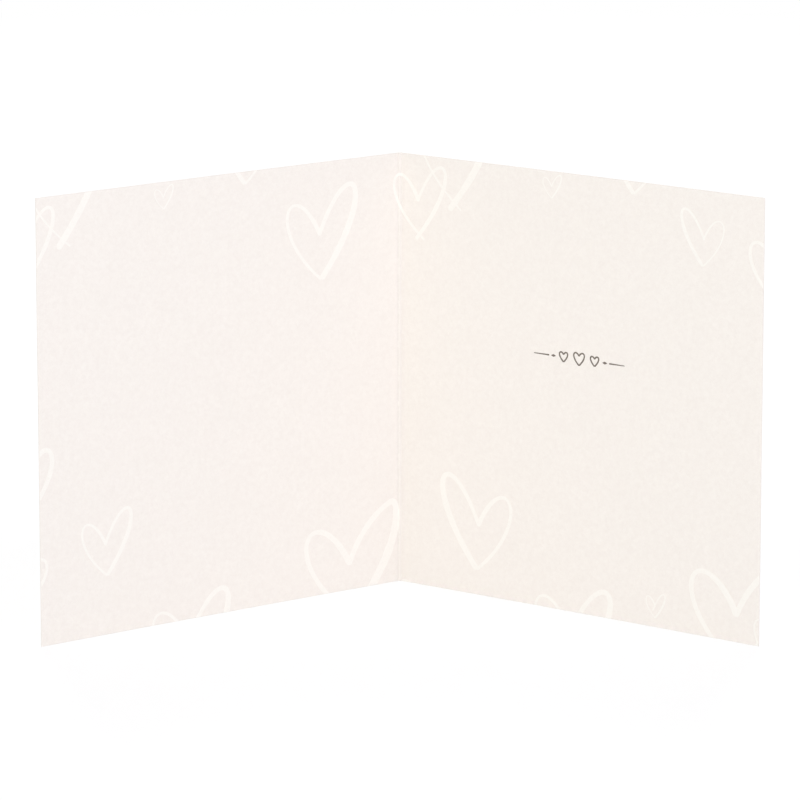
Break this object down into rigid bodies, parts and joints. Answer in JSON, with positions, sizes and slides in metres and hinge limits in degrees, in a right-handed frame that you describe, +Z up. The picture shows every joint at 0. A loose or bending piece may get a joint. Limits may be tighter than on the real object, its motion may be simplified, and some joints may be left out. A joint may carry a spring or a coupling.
{
  "type": "greeting card",
  "caption": "Square greeting card, one creased sheet of uncoated board standing open on its bottom edge.",
  "frame": {"origin": "centre of the card's bounding box, on the surface that its bottom edge stands on", "axes": "+X across the open card, +Y from the free edges towards the fold at the back, +Z up; the inside faces -Y"},
  "size_m": [0.237, 0.0924, 0.15],
  "materials": {
    "blush_board": "uncoated, matte, fine tooth",
    "white_ink": "opaque matte white print",
    "grey_ink": "warm grey print"
  },
  "bodies": {
    "root": {"card": "blush_board"}
  },
  "joints": []
}
